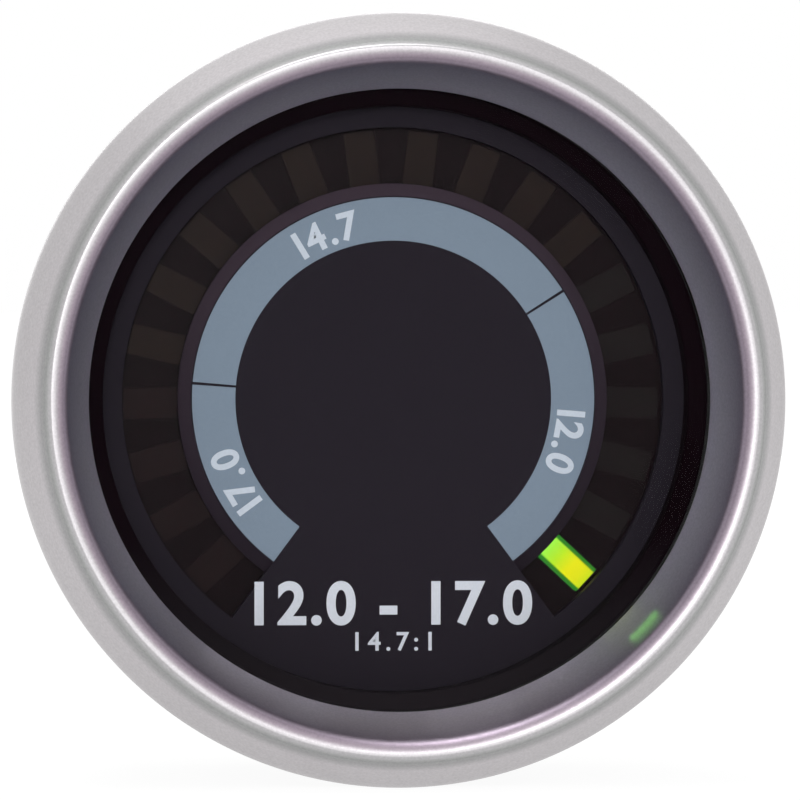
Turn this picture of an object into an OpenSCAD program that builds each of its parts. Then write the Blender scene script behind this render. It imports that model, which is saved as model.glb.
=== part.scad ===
/* [Panel fit] */
// Radius of the barrel, which goes through the hole in the panel
barrel_r = 25.9; // [22:0.1:40]
// Thickness of the panel that the bracket clamps
panel_t = 3; // [1:0.5:8]

/* [Bezel] */
// How far the rim reaches out past the barrel, over the panel
seat_w = 2.7; // [2:0.1:6]
// Height of the crest above the panel
bezel_h = 9; // [7:0.5:14]
// Thickness of the spun sheet
bezel_wall = 0.9; // [0.5:0.1:1.2]
// Width of the rim from its outside to the inner lip
rim_w = 5.6; // [5:0.1:8]
// Height of the straight outer wall
shoulder_h = 4; // [2:0.5:5]
// Distance from the outside of the rim to the foot of the crest bead
bead_in = 2.1; // [1.5:0.1:3]
// Height of the crest bead above its foot
bead_h = 0.65; // [0.2:0.05:1]
// How far the outer side of the bead leans inwards
bead_lean = 0.2; // [0:0.05:0.4]
// Width of the crest before its edges are rounded
crest_w = 1.3; // [1.2:0.1:2]
// Height of the lip's edge above the lens
lip_h = 0.3; // [0.1:0.1:0.8]
// Radius of the edge that meets the panel
seat_edge_r = 0.5; // [0.1:0.1:1]
// Radius between the outer wall and the outer flank
shoulder_edge_r = 4; // [1:0.5:6]
// Radius at the foot of the bead
bead_foot_r = 0.2; // [0.05:0.05:0.4]
// Radius of the bead's outer edge
crest_edge_r = 0.3; // [0.1:0.05:0.4]
// Radius from the crest into the inner flank
crest_round_r = 1.2; // [0.4:0.1:1.4]

/* [Case] */
// Thickness of the case's wall and back
case_wall = 1.6; // [1:0.1:2.5]
// Thickness of the flange that the bezel holds
flange_t = 2.1; // [1.5:0.1:4]
// Depth of the neck under the flange
neck_step = 0.3; // [0.1:0.05:0.5]
// Radius of the barrel's back edge
back_edge_r = 0.8; // [0.2:0.1:1.4]
// Number of ribs that carry the boards
rib_count = 6; // [3:1:12]
// Width of a rib
rib_w = 2; // [1:0.1:4]
// How far a rib stands in from the wall
rib_in = 1.7; // [1:0.1:3]
// Free depth behind the rear board
tail_room = 4.6; // [4:0.1:12]
// Wall of the pockets that keep the stud heads from turning
pocket_wall = 1.2; // [0.8:0.1:2]
// Depth of the stud head pockets
pocket_h = 2; // [1:0.1:3]

/* [Lens and spacer] */
// Thickness of the lens
lens_t = 2; // [1.5:0.1:4]
// How far the lens stands in front of the flange
lens_proud = 0.2; // [0:0.05:0.5]
// Bevel on the lens's edges
lens_bevel = 0.2; // [0.1:0.05:0.4]
// Thickness of the gasket under the lens
gasket_t = 0.5; // [0.3:0.1:1]
// Width of the gasket
gasket_w = 1.05; // [0.6:0.05:1.2]
// Height of the spacer ring between the dial and the gasket
spacer_h = 3.7; // [3.2:0.1:8]
// Width of the spacer ring at its front
mouth_wall = 1.25; // [1.2:0.05:2]
// Width of the spacer ring at the dial
throat_wall = 2.35; // [1.6:0.05:3.5]
// Height of the straight part of the spacer ring's bore
throat_h = 2.6; // [1:0.1:3]

/* [Dial] */
// Thickness of the dial plate
dial_t = 1.2; // [0.8:0.1:2]
// Distance from the dial's edge to the window
window_margin = 3.88; // [3.6:0.02:5]
// Width of the window
window_w = 4.19; // [3.9:0.01:6]
// Angle from the top to each end of the window
window_half_deg = 143.5; // [137:0.5:146]
// Width of the bevel on the window's inner side
window_bevel_w = 0.93; // [0.2:0.01:1.2]
// Depth of that bevel
window_bevel_h = 0.7; // [0.2:0.05:0.75]

/* [Light bar] */
// Number of cells on the lean side
lean_cells = 4; // [2:1:5]
// Number of cells in the middle zone
centre_cells = 10; // [6:1:10]
// Number of cells on the rich side, with the last one lit
rich_cells = 6; // [3:1:6]
// Angle from one cell to the next
cell_pitch_deg = 14; // [12.5:0.1:14.4]
// Length of a cell along the radius
cell_l = 4; // [3:0.05:4.1]
// Width of a cell
cell_w = 2.25; // [1.6:0.05:2.6]
// How much nearer to the centre than the window's middle the cells lie
cell_inset = 0.12; // [0:0.02:0.3]
// Radius of a diffuser's corners
cell_corner_r = 0.15; // [0.05:0.05:0.5]
// Thickness of a diffuser
diffuser_t = 1.2; // [0.8:0.1:2]
// Depth of the shallow dish that spreads the light, on a diffuser's back
dish_h = 0.25; // [0.1:0.05:0.4]
// Gap between a diffuser and its well
well_gap = 0.05; // [0.03:0.01:0.15]
// Width of the shelf that carries a diffuser
well_shelf = 0.25; // [0.15:0.05:0.4]
// Depth of the light housing behind the filter
housing_h = 5; // [4:0.1:10]
// Thickness of the housing's web behind the dial
web_t = 1.4; // [1:0.1:2]
// Height of the housing's radial ribs under the web
web_rib_h = 2; // [1:0.1:2.6]
// Thickness of the housing's radial ribs
web_rib_w = 1.2; // [0.8:0.1:2]
// Number of radial ribs
web_rib_count = 8; // [4:1:12]
// Radius of the hub where the ribs meet
web_hub_r = 2.5; // [2:0.1:4]
// Wall of the housing's ring inside and outside the wells
well_wall = 2; // [1.2:0.1:2.5]
// Thickness of the smoked filter
filter_t = 0.8; // [0.5:0.1:1.5]
// How far the filter reaches past the window at its sides
filter_lap = 1.1; // [0.5:0.1:1.4]
// How far the filter reaches past the window at its ends
filter_lap_deg = 4; // [2:0.5:8]
// Length of a light chip along the radius
led_l = 2; // [1.6:0.05:2.2]
// Width of a light chip
led_w = 1.25; // [0.8:0.05:1.4]
// Height of a light chip
led_h = 0.8; // [0.5:0.05:1.2]
// Height of a light chip's base
led_base_h = 0.3; // [0.2:0.05:0.4]
// Length of a light chip's metal ends
led_end_l = 0.35; // [0.2:0.05:0.5]
// Room around a light chip at the foot of its well
led_room = 0.25; // [0.1:0.05:0.4]

/* [Boards] */
// Thickness of both circuit boards
board_t = 1.6; // [1:0.1:2]
// Width of a spacer post across its flats
post_flats = 4.5; // [4:0.1:5]
// Radius of a post's threaded stud
post_stud_r = 1.25; // [1:0.05:1.5]
// How far a post's stud reaches into the light housing
post_grip = 3; // [2:0.1:3.2]
// Distance from the ring of wells to the upper posts
upper_post_in = 2.9; // [2.6:0.1:4]
// Gap between a driver chip's end and the upper posts
upper_post_gap = 0.3; // [0.2:0.1:0.8]
// How far the lower posts lie outside the middle of the cells
lower_post_out = 0.6; // [0:0.1:1.2]
// Angle from the bottom to each lower post
lower_post_half_deg = 34; // [26:0.5:35]
// Radius of a board screw
screw_r = 1; // [0.8:0.05:1.1]
// How far a board screw reaches into its post
screw_grip = 4; // [3:0.1:5]
// Radius of a screw head
screw_head_r = 1.9; // [1.6:0.1:2.2]
// Height of a screw head
screw_head_h = 1.3; // [0.8:0.1:1.8]
// Width of a screw's slot
screw_slot_w = 0.5; // [0.3:0.1:0.8]
// Depth of a screw's slot
screw_slot_h = 0.6; // [0.3:0.1:0.7]
// Number of pins between the boards
header_pins = 8; // [6:1:10]
// Gap between the ends of the row of pins and the parts beside it
header_gap = 0.5; // [0.4:0.1:1]
// Distance between neighbouring pins
pin_pitch = 2.54; // [2:0.01:2.54]
// Thickness of a square pin
pin_w = 0.64; // [0.5:0.01:0.8]
// How far a pin stands out past a board
pin_out = 0.8; // [0.4:0.1:1]
// Gap between a pin and its hole
pin_gap = 0.05; // [0.03:0.01:0.1]

/* [Board parts] */
// Length of a driver chip
chip_l = 11.6; // [9:0.1:13]
// Width of a driver chip's body
chip_w = 7.5; // [5:0.1:8]
// Height of a driver chip's body
chip_h = 2.3; // [1.6:0.1:3]
// Height of the body above the board
chip_lift = 0.2; // [0.1:0.05:0.4]
// How far the chip's sides slope in
chip_draft = 0.25; // [0.1:0.05:0.4]
// Distance from the board's middle to a driver chip's middle
chip_y = 8; // [7.4:0.1:9]
// Number of leads on each side of a chip
lead_count = 9; // [6:1:10]
// Distance between neighbouring leads
lead_pitch = 1.27; // [1:0.01:1.27]
// Width of a lead
lead_w = 0.42; // [0.3:0.01:0.6]
// Thickness of a lead
lead_t = 0.25; // [0.15:0.05:0.3]
// How far a lead reaches out from the body
lead_out = 1.4; // [1:0.1:1.8]
// Length of a lead's foot on the board
lead_foot = 0.7; // [0.5:0.1:0.9]
// Length of a chip resistor
resistor_l = 3.2; // [2:0.1:3.6]
// Width of a chip resistor
resistor_w = 1.6; // [1:0.1:2]
// Height of a chip resistor
resistor_h = 0.6; // [0.4:0.05:0.8]
// Length of a chip resistor's metal ends
resistor_end_l = 0.5; // [0.3:0.05:0.8]
// How much lower the resistor's middle is than its ends
resistor_step = 0.08; // [0.04:0.02:0.12]
// Distance from the rear board's edge to the columns of resistors
resistor_in = 5.8; // [5:0.1:6.8]
// Height on the board of the resistors nearest to its middle
resistor_y = 6.5; // [6.2:0.1:7]
// Distance from one resistor to the next
resistor_step_y = 3; // [2.4:0.1:3.4]
// Radius of the capacitor's can
can_r = 3.15; // [2:0.05:3.2]
// Height of the capacitor
can_h = 7.7; // [5:0.1:8]
// Side of the capacitor's square base
can_base_w = 6.6; // [5:0.1:6.8]
// Gap between the capacitor and the front board
can_room = 0.7; // [0.5:0.1:4]
// Height of the capacitor's base
can_base_h = 1; // [0.5:0.1:1.5]
// Depth of the groove round the can
can_groove = 0.3; // [0.1:0.05:0.5]
// Length of the regulator's body
regulator_l = 6.1; // [5:0.1:6.5]
// Width of the regulator's body
regulator_w = 6.6; // [5:0.1:7]
// Height of the regulator's body
regulator_h = 2.3; // [1.5:0.1:2.5]
// Thickness of the regulator's metal tab
tab_t = 0.5; // [0.3:0.1:0.8]
// How far the tab stands out of the body
tab_out = 1.2; // [0.5:0.1:2]
// Length of the diode's body
diode_l = 4.4; // [3:0.1:4.6]
// Width of the diode's body
diode_w = 2.6; // [2:0.1:3]
// Height of the diode's body
diode_h = 2; // [1.2:0.1:2.4]
// Distance from the board's middle to the diode's middle
diode_x = 8; // [7.6:0.1:9]

/* [Harness socket] */
// Inner length of the socket
socket_l = 12; // [10:0.1:12.4]
// Inner width of the socket
socket_w = 7; // [5:0.1:7.2]
// Wall of the socket
socket_wall = 1; // [0.8:0.1:1.1]
// How far the socket stands out behind the case
socket_out = 4; // [2:0.1:8]
// Depth of the socket's floor behind the rear board
socket_floor = 2.9; // [2:0.1:3.4]
// Length of the contact pins above the socket's floor
contact_h = 2.7; // [2:0.1:3]
// Number of contact pins
contact_count = 4; // [2:1:4]
// Gap between the socket and the case
socket_gap = 0.2; // [0.1:0.05:0.3]
// Width of the keyway in the socket's wall
keyway_w = 3; // [2:0.1:4]
// Length of the keyway from the mouth
keyway_h = 3; // [2:0.1:3.6]

/* [Studs and nuts] */
// Radius of the mounting studs
stud_r = 2.083; // [1.8:0.001:2.5]
// Distance from the barrel's wall to a stud
stud_in = 9.9; // [9.4:0.1:10.4]
// How far the studs stand out behind the case
stud_out = 32; // [28:0.5:40]
// Height of a stud's head inside the case
stud_head_h = 3.3; // [2.5:0.1:3.6]
// Width of a hexagon across its flats
hex_flats = 8.73; // [7:0.01:9.5]
// Bevel on a stud's tip
stud_tip = 0.5; // [0.2:0.1:1]
// Thickness of a jam nut
jam_t = 3.2; // [2.5:0.1:4]
// Radius of a flat washer
washer_r = 4.75; // [4.5:0.05:5.5]
// Thickness of a washer
washer_t = 0.8; // [0.5:0.1:1.2]
// Radius of a lock washer
lock_r = 3.7; // [3.3:0.05:4.2]
// Width of the split in a lock washer
lock_split = 0.7; // [0.4:0.1:1]
// Radius of a thumb nut's knurled head
nut_r = 5.5; // [5:0.1:7]
// Height of a thumb nut's knurled head
nut_h = 4.5; // [3:0.1:6]
// Radius of a thumb nut's collar
collar_r = 4; // [3.5:0.1:4.5]
// Height of a thumb nut's collar
collar_h = 1.5; // [1:0.1:2.5]
// Number of flutes round a thumb nut
flute_count = 30; // [18:1:36]
// Radius of a flute
flute_r = 0.4; // [0.2:0.05:0.5]
// Depth of a flute
flute_h = 0.25; // [0.1:0.05:0.3]
// Bevel on a thumb nut's edges
nut_bevel = 0.4; // [0.2:0.1:0.8]
// Gap between a nut or washer and its stud
thread_gap = 0.05; // [0.03:0.01:0.08]

/* [Bracket] */
// Width of the strap
strap_w = 9.5; // [8:0.5:14]
// Thickness of the strap
strap_t = 1.2; // [0.8:0.1:1.6]
// Gap between a leg and the barrel
leg_gap = 0.9; // [0.9:0.05:2]
// Radius inside the strap's bends
bend_r = 1.6; // [0.8:0.1:3]
// Radius of the corners of a leg's tip
tip_r = 1.5; // [0.5:0.1:3]
// Gap between the jam nuts and the bracket when it clamps the panel
web_gap = 2.4; // [2.2:0.1:6]
// Gap between a stud and its hole in the bracket
strap_hole_gap = 0.32; // [0.2:0.02:0.6]
// Length of the gusset pressed into each bend, along the leg and the web
gusset_l = 3.5; // [2:0.1:4]
// Width of a gusset
gusset_w = 3; // [2:0.1:5]

/* [Fits] */
// Gap between the case and the pieces stacked inside it
fit_gap = 0.15; // [0.05:0.05:0.3]
// How much wider the hole in the bezel's hem is than the barrel, in radius
hem_gap = 0.3; // [0.3:0.05:0.6]
// Gap between the bezel and the flange inside it
flange_gap = 0.2; // [0.1:0.05:0.3]

/* [Hidden] */
$fn = 120;
// Segments in each rounded corner of an outline
corner_steps = 8;
// How far a cut runs past the face that it starts from
overrun = 0.5;

// Radii of the stack, from the outside in
bezel_r = barrel_r + seat_w;
lip_r = bezel_r - rim_w;
neck_r = barrel_r - neck_step;
hem_r = barrel_r + hem_gap;
flange_r = bezel_r - bezel_wall - flange_gap;
inner_r = barrel_r - case_wall;
fit_r = inner_r - fit_gap;
driver_r = inner_r - rib_in - 2 * fit_gap;
window_out_r = fit_r - window_margin;
window_in_r = window_out_r - window_w;
filter_out_r = window_out_r + filter_lap;
filter_in_r = window_in_r - filter_lap;
cell_r = (window_out_r + window_in_r) / 2 - cell_inset;
ring_out_r = cell_r + cell_l / 2 + well_wall;
ring_in_r = cell_r - cell_l / 2 - well_wall;

// Depths of the stack, forwards from the panel's front face
flange_back = bezel_wall;
flange_front = flange_back + flange_t;
lens_front = flange_front + lens_proud;
lens_back = lens_front - lens_t;
spacer_front = lens_back - gasket_t;
dial_front = spacer_front - spacer_h;
dial_back = dial_front - dial_t;
filter_back = dial_back - filter_t;
shelf_z = filter_back - diffuser_t;
housing_back = filter_back - housing_h;
led_board_back = housing_back - board_t;
board_space = can_h + can_room;
driver_front = led_board_back - board_space;
driver_back = driver_front - board_t;
floor_z = driver_back - tail_room;
case_back = floor_z - case_wall;
jam_front = case_back - washer_t;
jam_back = jam_front - jam_t;
web_front = jam_back - web_gap;
web_back = web_front - strap_t;
nut_front = web_back - washer_t;
socket_mouth = case_back - socket_out;
socket_floor_z = driver_back - socket_floor;

// Cells, counted from the lean end
cell_count = lean_cells + centre_cells + rich_cells;
first_cell_deg = 90 + cell_pitch_deg * (cell_count - 1) / 2;
lit_cell = cell_count - 1;

// Places of the four posts between the boards, on the two sides
upper_post_x = chip_l / 2 + upper_post_gap + post_flats / 2;
upper_post_y = sqrt((ring_in_r + well_wall - upper_post_in) ^ 2 - upper_post_x ^ 2);
lower_post_r = cell_r + lower_post_out;
post_places = [
    [upper_post_x, upper_post_y],
    [-upper_post_x, upper_post_y],
    polar(lower_post_r, 270 - lower_post_half_deg),
    polar(lower_post_r, 270 + lower_post_half_deg)
];
post_hole_r = post_stud_r + thread_gap;
boss_r = post_flats / 2 + thread_gap;

// Places of the parts on the rear board, and of the studs
header_end = header_pins * pin_pitch / 2;
socket_x = header_end + header_gap + socket_w / 2 + socket_wall;
can_x = header_end + header_gap + can_base_w / 2;
regulator_x = header_end + header_gap + tab_out + regulator_l / 2;
resistor_x = driver_r - resistor_in;
stud_y = barrel_r - stud_in;
resistor_places = [
    for (side = [-1, 1], row = [0, 1]) [side * resistor_x, -resistor_y - row * resistor_step_y],
    for (row = [0, 1]) [-resistor_x, resistor_y + row * resistor_step_y]
];
diode_place = [-diode_x, -chip_y];
contact_places = [
    for (i = [0 : contact_count - 1])
        [socket_x, (i - (contact_count - 1) / 2) * pin_pitch]
];
header_places = [
    for (i = [0 : header_pins - 1]) [(i - (header_pins - 1) / 2) * pin_pitch, 0]
];

// A point at a radius and an angle
function polar(r, a) = [r * cos(a), r * sin(a)];
// The first two values of a corner
function flat(p) = [p.x, p.y];
function unit(v) = v / norm(v);
// The normal on the right of the way from p to q
function right_of(p, q) = unit([q.y - p.y, p.x - q.x]);
// A line through two points, moved to its right by d
function moved_line(p, q, d) = [p + d * right_of(p, q), q + d * right_of(p, q)];
function cross2(a, b) = a.x * b.y - a.y * b.x;
// The point where two lines cross
function meet(a, b) = a[0] + (a[1] - a[0])
    * cross2(b[0] - a[0], b[1] - b[0]) / cross2(a[1] - a[0], b[1] - b[0]);
// The point at height y on a line
function at_height(line, y) = line[0] + (line[1] - line[0]) * (y - line[0].y) / (line[1].y - line[0].y);
// The arc that rounds corner p between the ways to its neighbours a and b
function corner_arc(p, a, b, r) =
    let (half = acos(a * b) / 2,
        centre = p + unit(a + b) * r / sin(half),
        from = p + a * r / tan(half) - centre,
        to = p + b * r / tan(half) - centre,
        turn = 180 - 2 * half)
    [for (i = [0 : corner_steps])
        centre + (from * sin(turn * (1 - i / corner_steps)) + to * sin(turn * i / corner_steps)) / sin(turn)];
// An outline from corners [x, y, radius]
function rounded(corners) = [
    for (i = [0 : len(corners) - 1])
        let (p = flat(corners[i]),
            before = flat(corners[(i + len(corners) - 1) % len(corners)]),
            after = flat(corners[(i + 1) % len(corners)]))
        for (q = corners[i][2] > 0
            ? corner_arc(p, unit(before - p), unit(after - p), corners[i][2])
            : [p]) q
];
// The corners of an upright rectangle, all with one radius
function box_corners(w, h, r) = [
    [-w / 2, -h / 2, r], [w / 2, -h / 2, r], [w / 2, h / 2, r], [-w / 2, h / 2, r]
];

// Turns a piece drawn along the gauge's axis so that its front faces the viewer
module facing_front() {
    rotate([90, 0, 0]) children();
}

module ring(r_in, r_out, z_low, z_high) {
    translate([0, 0, z_low]) difference() {
        cylinder(r = r_out, h = z_high - z_low);
        translate([0, 0, -overrun])
            cylinder(r = r_in, h = z_high - z_low + 2 * overrun);
    }
}

// A block centred on the axis between two heights
module block(w, h, z_low, z_high) {
    translate([-w / 2, -h / 2, z_low]) cube([w, h, z_high - z_low]);
}

module hexagon(flats) {
    rotate(30) circle(r = flats / 2 / cos(30), $fn = 6);
}

// Repeats a piece for each cell from one number to another
module at_cells(first, last) {
    for (i = [first : last])
        rotate(first_cell_deg - i * cell_pitch_deg) translate([cell_r, 0, 0]) children();
}

module at_studs() {
    for (side = [-1, 1]) translate([0, side * stud_y, 0]) children();
}

module at_places(places) {
    for (p = places) translate([p.x, p.y, 0]) children();
}

module pin_holes(places, z_low, z_high) {
    at_places(places)
        block(pin_w + 2 * pin_gap, pin_w + 2 * pin_gap, z_low - overrun, z_high + overrun);
}

// Spun rim: hem behind the flange, outer wall, flank, crest bead and inner flank
outer_flank = [[bezel_r, shoulder_h], [bezel_r - bead_in, bezel_h - bead_h]];
crest_out_r = bezel_r - bead_in - bead_lean;
inner_flank = [[crest_out_r - crest_w, bezel_h], [lip_r, lens_front + lip_h]];
outer_under = moved_line(outer_flank[1], outer_flank[0], bezel_wall);
inner_under = moved_line(inner_flank[1], inner_flank[0], bezel_wall);
crest_under = bezel_h - bezel_wall;
fold = meet(outer_under, inner_under);
// Under the crest the two sides meet in a point, or in a flat where the sheet would get too thin
fold_points = fold.y > crest_under
    ? [at_height(inner_under, crest_under), at_height(outer_under, crest_under)]
    : [fold];
lip_under = at_height(inner_under, lens_front);
wall_under = [
    bezel_r - bezel_wall,
    outer_under[0].y + (outer_under[1].y - outer_under[0].y)
        * (bezel_r - bezel_wall - outer_under[0].x) / (outer_under[1].x - outer_under[0].x)
];

module bezel() {
    color([0.74, 0.74, 0.77]) facing_front() rotate_extrude() polygon(rounded([
        [hem_r, 0, 0],
        [bezel_r, 0, seat_edge_r],
        [outer_flank[0].x, outer_flank[0].y, shoulder_edge_r],
        [outer_flank[1].x, outer_flank[1].y, bead_foot_r],
        [crest_out_r, bezel_h, crest_edge_r],
        [inner_flank[0].x, inner_flank[0].y, crest_round_r],
        [inner_flank[1].x, inner_flank[1].y, lip_h / 3],
        [lip_r, lens_front, 0],
        [lip_under.x, lip_under.y, 0],
        for (p = fold_points) [p.x, p.y, 0],
        [wall_under.x, wall_under.y, 0],
        [bezel_r - bezel_wall, flange_back, 0],
        [hem_r, flange_back, 0]
    ]));
}

module lens() {
    color([0.8, 0.85, 0.88, 0.35]) facing_front() rotate_extrude() polygon([
        [0, lens_back],
        [fit_r - lens_bevel, lens_back],
        [fit_r, lens_back + lens_bevel],
        [fit_r, lens_front - lens_bevel],
        [fit_r - lens_bevel, lens_front],
        [0, lens_front]
    ]);
}

module lens_gasket() {
    color([0.07, 0.07, 0.07]) facing_front() ring(fit_r - gasket_w, fit_r, spacer_front, lens_back);
}

// Black ring that steps from the lens down to the dial
module spacer_ring() {
    color([0.05, 0.05, 0.05]) facing_front() rotate_extrude() polygon([
        [fit_r - throat_wall, dial_front],
        [fit_r, dial_front],
        [fit_r, spacer_front],
        [fit_r - mouth_wall, spacer_front],
        [fit_r - throat_wall, dial_front + throat_h]
    ]);
}

// Dial with its curved window, bevelled on the inner side
module dial_plate() {
    color([0.13, 0.13, 0.14]) facing_front() difference() {
        translate([0, 0, dial_back]) cylinder(r = fit_r, h = dial_t);
        rotate_extrude(angle = 2 * window_half_deg, start = 90 - window_half_deg) polygon([
            [window_in_r, dial_back - overrun],
            [window_out_r, dial_back - overrun],
            [window_out_r, dial_front + overrun],
            [window_in_r - window_bevel_w, dial_front + overrun],
            [window_in_r - window_bevel_w, dial_front],
            [window_in_r, dial_front - window_bevel_h]
        ]);
    }
}

module smoke_filter() {
    half_deg = window_half_deg + filter_lap_deg;
    color([0.12, 0.1, 0.1, 0.6]) facing_front()
        rotate_extrude(angle = 2 * half_deg, start = 90 - half_deg)
            translate([filter_in_r, filter_back]) square([filter_out_r - filter_in_r, filter_t]);
}

// A prism of four sloping walls, from one rectangle at the foot to another at the top
module funnel(foot_l, foot_w, top_l, top_w, z_foot, z_top) {
    intersection() {
        rotate([90, 0, 0]) linear_extrude(height = 2 * top_w, center = true)
            polygon(funnel_side(foot_l, top_l, z_foot, z_top));
        rotate([90, 0, 90]) linear_extrude(height = 2 * top_l, center = true)
            polygon(funnel_side(foot_w, top_w, z_foot, z_top));
    }
}

function funnel_side(foot, top, z_foot, z_top) = [
    [-foot / 2, z_foot - overrun], [foot / 2, z_foot - overrun], [foot / 2, z_foot],
    [top / 2, z_top], [-top / 2, z_top], [-foot / 2, z_foot]
];

// One well: a pocket for the diffuser over a funnel that closes down to the light chip
module well() {
    block(cell_l + 2 * well_gap, cell_w + 2 * well_gap, shelf_z, filter_back + overrun);
    funnel(led_l + 2 * led_room, led_w + 2 * led_room,
        cell_l - 2 * well_shelf, cell_w - 2 * well_shelf, housing_back, shelf_z);
}

// Moulded baffle behind the dial: web, rim, radial ribs, post bosses and the ring of wells
module light_housing() {
    color([0.09, 0.09, 0.1]) facing_front() difference() {
        union() {
            translate([0, 0, dial_back - web_t]) cylinder(r = filter_in_r - fit_gap, h = web_t);
            ring(ring_in_r, ring_out_r, housing_back, filter_back);
            ring(filter_out_r + fit_gap, fit_r, filter_back - web_t, dial_back);
            ring(ring_in_r, fit_r, filter_back - web_t, filter_back);
            translate([0, 0, dial_back - web_t - web_rib_h])
                cylinder(r = web_hub_r, h = web_rib_h);
            for (i = [0 : web_rib_count - 1]) rotate((i + 1 / 2) * 360 / web_rib_count)
                translate([0, -web_rib_w / 2, dial_back - web_t - web_rib_h])
                    cube([ring_in_r + well_wall / 2, web_rib_w, web_rib_h]);
            at_places(post_places) translate([0, 0, housing_back])
                cylinder(r = boss_r, h = dial_back - web_t - housing_back);
        }
        at_cells(0, lit_cell) well();
        at_places(post_places) translate([0, 0, housing_back - overrun])
            cylinder(r = post_hole_r, h = post_grip + thread_gap + overrun);
    }
}

// One block of tinted plastic with rounded corners and a dished back
module diffuser() {
    difference() {
        translate([0, 0, shelf_z]) linear_extrude(height = diffuser_t)
            polygon(rounded(box_corners(cell_l, cell_w, cell_corner_r)));
        funnel(cell_l - 4 * well_shelf, cell_w - 4 * well_shelf,
            cell_l - 6 * well_shelf, cell_w - 6 * well_shelf, shelf_z, shelf_z + dish_h);
    }
}

module lean_diffusers() {
    color([0.36, 0.2, 0.16]) facing_front() at_cells(0, lean_cells - 1) diffuser();
}

module centre_diffusers() {
    color([0.36, 0.28, 0.14]) facing_front()
        at_cells(lean_cells, lean_cells + centre_cells - 1) diffuser();
}

module rich_diffusers() {
    color([0.2, 0.27, 0.16]) facing_front()
        at_cells(lean_cells + centre_cells, lit_cell - 1) diffuser();
}

module lit_diffuser() {
    color([0.75, 0.88, 0.15]) facing_front() at_cells(lit_cell, lit_cell) diffuser();
}

// Light chip on the board: base, two metal ends and the clear body between them
module led_chip() {
    block(led_l, led_w, housing_back, housing_back + led_base_h);
    block(led_l - 2 * led_end_l, led_w, housing_back, housing_back + led_h);
}

module lean_leds() {
    color([0.85, 0.5, 0.42]) facing_front() at_cells(0, lean_cells - 1) led_chip();
}

module centre_leds() {
    color([0.88, 0.78, 0.45]) facing_front()
        at_cells(lean_cells, lean_cells + centre_cells - 1) led_chip();
}

module rich_leds() {
    color([0.6, 0.85, 0.45]) facing_front()
        at_cells(lean_cells + centre_cells, lit_cell) led_chip();
}

module led_board() {
    color([0.1, 0.33, 0.2]) facing_front() difference() {
        translate([0, 0, led_board_back]) cylinder(r = fit_r, h = board_t);
        at_places(post_places) translate([0, 0, led_board_back - overrun])
            cylinder(r = post_hole_r, h = board_t + 2 * overrun);
        pin_holes(header_places, led_board_back, housing_back);
    }
}

// Strip of square pins in a plastic bar, from one board to the other
module board_header() {
    color([0.08, 0.08, 0.08]) facing_front() {
        block(header_pins * pin_pitch, pin_pitch, driver_front, driver_front + pin_pitch);
        at_places(header_places)
            block(pin_w, pin_w, driver_back - pin_out, housing_back + pin_out);
    }
}

// Hexagonal posts between the boards, each with a stud in front and a bore behind
module board_posts() {
    color([0.72, 0.6, 0.3]) facing_front() at_places(post_places) difference() {
        union() {
            translate([0, 0, driver_front]) linear_extrude(height = board_space)
                hexagon(post_flats);
            translate([0, 0, led_board_back]) cylinder(r = post_stud_r, h = board_t + post_grip);
        }
        translate([0, 0, driver_front - overrun])
            cylinder(r = screw_r + thread_gap, h = screw_grip + thread_gap + overrun);
    }
}

module board_screws() {
    color([0.62, 0.62, 0.64]) facing_front() at_places(post_places) difference() {
        union() {
            translate([0, 0, driver_back - screw_head_h])
                cylinder(r1 = screw_head_r - screw_head_h / 4, r2 = screw_head_r, h = screw_head_h);
            translate([0, 0, driver_back]) cylinder(r = screw_r, h = board_t + screw_grip);
        }
        block(2 * screw_head_r + overrun, screw_slot_w,
            driver_back - screw_head_h - overrun, driver_back - screw_head_h + screw_slot_h);
    }
}

module driver_board() {
    color([0.1, 0.33, 0.2]) facing_front() difference() {
        translate([0, 0, driver_back]) cylinder(r = driver_r, h = board_t);
        at_places(post_places) translate([0, 0, driver_back - overrun])
            cylinder(r = screw_r + thread_gap, h = board_t + 2 * overrun);
        pin_holes(header_places, driver_back, driver_front);
        pin_holes(contact_places, driver_back, driver_front);
    }
}

// A lead that leaves the body, steps down and stands on the board
module chip_lead() {
    mid_z = chip_lift + chip_h / 2;
    rotate([90, 0, 90]) linear_extrude(height = lead_w, center = true) polygon([
        [chip_w / 2 - lead_foot, mid_z],
        [chip_w / 2 + lead_out - lead_foot, mid_z],
        [chip_w / 2 + lead_out - lead_foot, lead_t],
        [chip_w / 2 + lead_out, lead_t],
        [chip_w / 2 + lead_out, 0],
        [chip_w / 2 + lead_out - lead_foot - lead_t, 0],
        [chip_w / 2 + lead_out - lead_foot - lead_t, mid_z - lead_t],
        [chip_w / 2 - lead_foot, mid_z - lead_t]
    ]);
}

module driver_chip() {
    rotate([90, 0, 90]) linear_extrude(height = chip_l, center = true) polygon([
        [chip_draft - chip_w / 2, chip_lift],
        [chip_w / 2 - chip_draft, chip_lift],
        [chip_w / 2, chip_lift + chip_h / 2],
        [chip_w / 2 - chip_draft, chip_lift + chip_h],
        [chip_draft - chip_w / 2, chip_lift + chip_h],
        [-chip_w / 2, chip_lift + chip_h / 2]
    ]);
    for (side = [0, 180], i = [0 : lead_count - 1])
        rotate(side) translate([(i - (lead_count - 1) / 2) * lead_pitch, 0, 0]) chip_lead();
}

module driver_chips() {
    color([0.1, 0.1, 0.1]) facing_front()
        for (side = [-1, 1]) translate([0, side * chip_y, driver_front]) driver_chip();
}

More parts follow.
